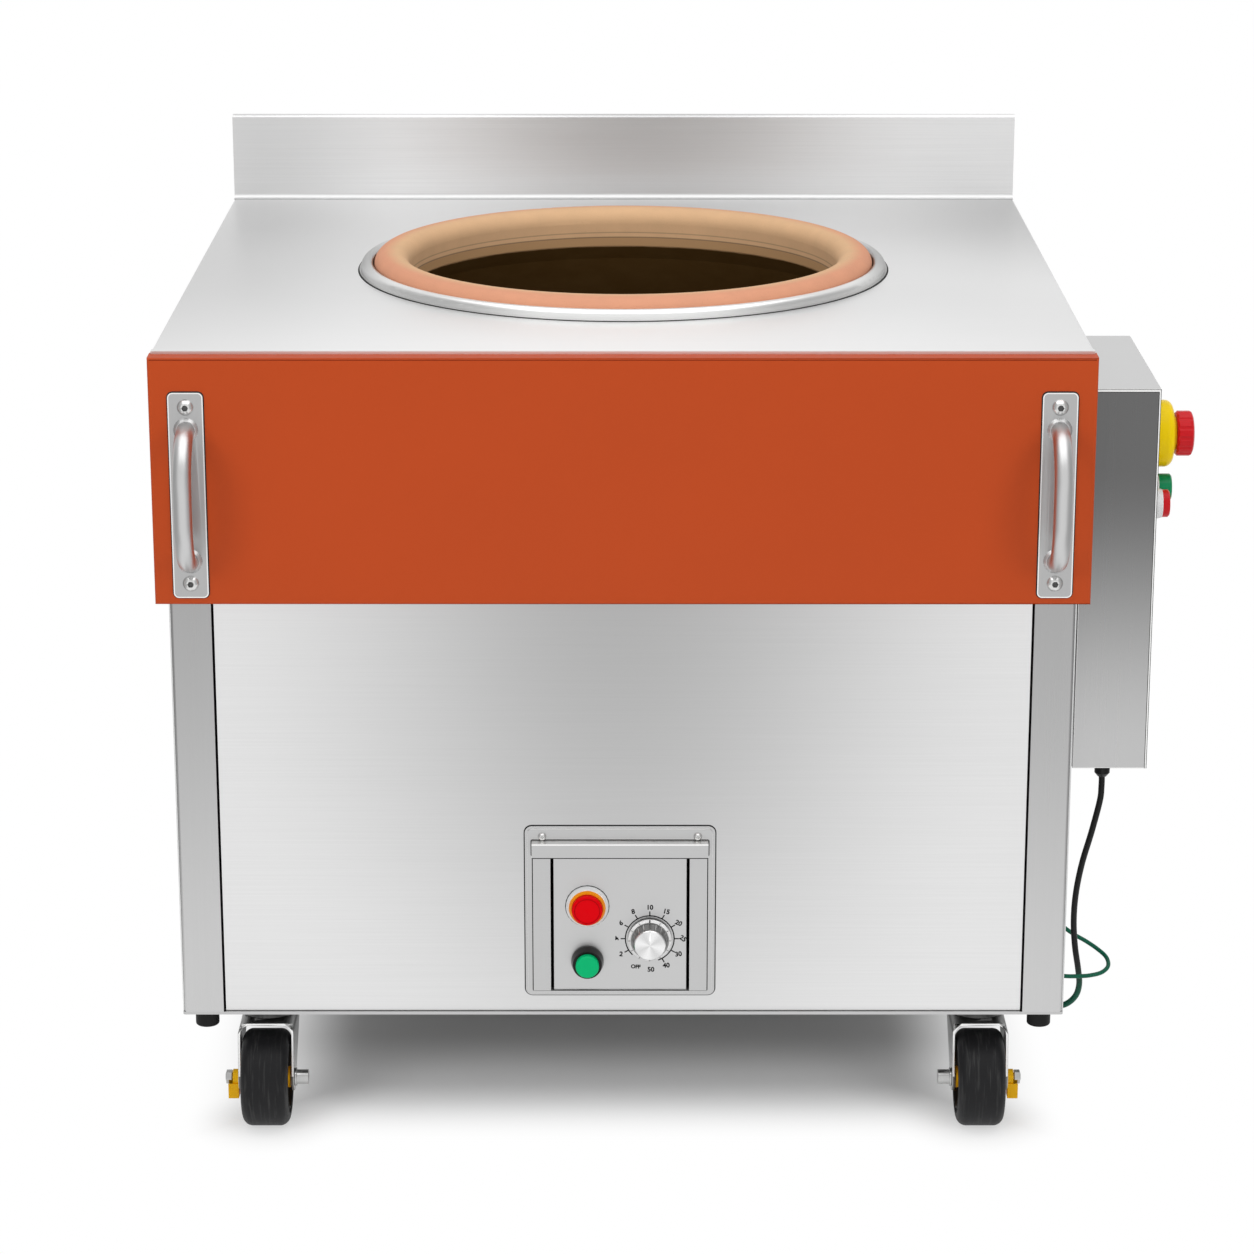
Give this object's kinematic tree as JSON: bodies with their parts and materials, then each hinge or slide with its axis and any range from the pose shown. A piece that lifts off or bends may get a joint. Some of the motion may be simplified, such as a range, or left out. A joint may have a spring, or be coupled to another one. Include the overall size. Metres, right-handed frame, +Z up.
{
  "type": "clay tandoor oven",
  "caption": "Square stainless electric oven on casters with a round clay mouth and pot, orange front fascia with bow handles, a control panel and a side control box.",
  "frame": {"origin": "on the floor, under the middle of the oven's overall box measured without its leads", "axes": "+X to the oven's right side with the control box, +Y to its back, +Z up"},
  "size_m": [1.035, 0.921, 0.921],
  "materials": {
    "stainless": "brushed",
    "handle_steel": "satin",
    "frame_steel": "mill finish",
    "orange_enamel": "satin powder coat",
    "bright_steel": "polished",
    "rim_clay": "matte",
    "pot_clay": "matte",
    "fireclay": "matte",
    "mineral_wool": "matte",
    "element_steel": "oxidised",
    "white_plastic": "gloss",
    "amber_plastic": "gloss",
    "black_plastic": "satin",
    "timer_plastic": "satin",
    "lead_black": "satin",
    "lead_green": "satin",
    "zinc_steel": "zinc plated",
    "rubber": "matte",
    "tyre_rubber": "matte",
    "knob_aluminium": "spun",
    "red_plastic": "gloss",
    "green_plastic": "gloss",
    "yellow_plastic": "gloss"
  },
  "bodies": {
    "root": {"base_pan": "stainless", "base_frame": "frame_steel", "corner_posts": "stainless", "left_panel": "stainless", "right_panel": "stainless", "back_panel": "stainless", "front_panel": "stainless", "fascia": "orange_enamel", "worktop": "stainless", "backsplash": "stainless", "mouth_ring": "bright_steel", "clay_rim": "rim_clay", "clay_pot": "pot_clay", "insulation": "mineral_wool", "hearth": "fireclay", "heater_element": "element_steel", "left_handle": "handle_steel", "right_handle": "handle_steel", "panel_screws": "bright_steel", "control_frame": "stainless", "control_plate": "stainless", "control_tray": "frame_steel", "lamp_bezel": "white_plastic", "lamp_collar": "amber_plastic", "push_bezel": "black_plastic", "switch_blocks": "black_plastic", "timer_body": "timer_plastic", "box_body": "stainless", "box_brackets": "stainless", "contactor": "black_plastic", "cable_glands": "black_plastic", "power_lead": "lead_black", "earth_lead": "lead_green", "caster_plates": "zinc_steel", "post_feet": "rubber"},
    "timer": {"timer_knob": "knob_aluminium"},
    "lamp_button": {"lamp_cap": "red_plastic"},
    "push_button": {"push_cap": "green_plastic"},
    "door": {"box_door": "stainless", "estop_base": "yellow_plastic", "door_bezels": "white_plastic", "door_blocks": "black_plastic"},
    "estop_slider": {"estop_stem": "yellow_plastic"},
    "estop_mushroom": {"estop_head": "red_plastic"},
    "run_button": {"run_cap": "green_plastic"},
    "stop_button": {"stop_cap": "red_plastic"},
    "caster_front_left": {"fork_front_left": "zinc_steel"},
    "wheel_front_left": {"hub_front_left": "yellow_plastic", "tyre_front_left": "tyre_rubber"},
    "caster_front_right": {"fork_front_right": "zinc_steel"},
    "wheel_front_right": {"hub_front_right": "yellow_plastic", "tyre_front_right": "tyre_rubber"},
    "caster_rear_left": {"fork_rear_left": "zinc_steel"},
    "wheel_rear_left": {"hub_rear_left": "yellow_plastic", "tyre_rear_left": "tyre_rubber"},
    "caster_rear_right": {"fork_rear_right": "zinc_steel"},
    "wheel_rear_right": {"hub_rear_right": "yellow_plastic", "tyre_rear_right": "tyre_rubber"},
    "brake_lever_left": {"brake_left": "yellow_plastic"},
    "brake_lever_right": {"brake_right": "yellow_plastic"}
  },
  "joints": [
    {"name": "timer_turn", "type": "hinge", "parent": "root", "child": "timer", "pos_m": [-0.0335, -0.3735, 0.216], "axis": [0, 1, 0], "range_deg": [0, 300]},
    {"name": "lamp_press", "type": "slide", "parent": "root", "child": "lamp_button", "axis": [0, 1, 0], "range_m": [0, 0.003], "stiffness_N_per_m": 400},
    {"name": "push_press", "type": "slide", "parent": "root", "child": "push_button", "axis": [0, 1, 0], "range_m": [0, 0.003], "stiffness_N_per_m": 400},
    {"name": "door_swing", "type": "hinge", "parent": "root", "child": "door", "pos_m": [0.4788, -0.03175, 0.5645], "axis": [0, 0, 1], "range_deg": [0, 110]},
    {"name": "estop_press", "type": "slide", "parent": "door", "child": "estop_slider", "axis": [-1, 0, 0], "range_m": [0, 0.003]},
    {"name": "estop_twist", "type": "hinge", "parent": "estop_slider", "child": "estop_mushroom", "pos_m": [0.4745, -0.2095, 0.701], "axis": [1, 0, 0], "range_deg": [0, 45], "stiffness_Nm_per_rad": 0.1},
    {"name": "run_press", "type": "slide", "parent": "door", "child": "run_button", "axis": [-1, 0, 0], "range_m": [0, 0.003], "stiffness_N_per_m": 400},
    {"name": "stop_press", "type": "slide", "parent": "door", "child": "stop_button", "axis": [-1, 0, 0], "range_m": [0, 0.003], "stiffness_N_per_m": 400},
    {"name": "swivel_front_left", "type": "hinge", "parent": "root", "child": "caster_front_left", "pos_m": [-0.4275, -0.2995, 0.11], "axis": [0, 0, 1], "continuous": true},
    {"name": "spin_front_left", "type": "hinge", "parent": "caster_front_left", "child": "wheel_front_left", "pos_m": [-0.4275, -0.3375, 0.05], "axis": [1, 0, 0], "continuous": true},
    {"name": "swivel_front_right", "type": "hinge", "parent": "root", "child": "caster_front_right", "pos_m": [0.3065, -0.2995, 0.11], "axis": [0, 0, 1], "continuous": true},
    {"name": "spin_front_right", "type": "hinge", "parent": "caster_front_right", "child": "wheel_front_right", "pos_m": [0.3065, -0.3375, 0.05], "axis": [1, 0, 0], "continuous": true},
    {"name": "swivel_rear_left", "type": "hinge", "parent": "root", "child": "caster_rear_left", "pos_m": [-0.4275, 0.3755, 0.11], "axis": [0, 0, 1], "continuous": true},
    {"name": "spin_rear_left", "type": "hinge", "parent": "caster_rear_left", "child": "wheel_rear_left", "pos_m": [-0.4275, 0.3375, 0.05], "axis": [1, 0, 0], "continuous": true},
    {"name": "swivel_rear_right", "type": "hinge", "parent": "root", "child": "caster_rear_right", "pos_m": [0.3065, 0.3755, 0.11], "axis": [0, 0, 1], "continuous": true},
    {"name": "spin_rear_right", "type": "hinge", "parent": "caster_rear_right", "child": "wheel_rear_right", "pos_m": [0.3065, 0.3375, 0.05], "axis": [1, 0, 0], "continuous": true},
    {"name": "brake_left_press", "type": "hinge", "parent": "caster_front_left", "child": "brake_lever_left", "pos_m": [-0.4275, -0.3375, 0.05], "axis": [1, 0, 0], "range_deg": [0, 25]},
    {"name": "brake_right_press", "type": "hinge", "parent": "caster_front_right", "child": "brake_lever_right", "pos_m": [0.3065, -0.3375, 0.05], "axis": [1, 0, 0], "range_deg": [0, 25]}
  ]
}
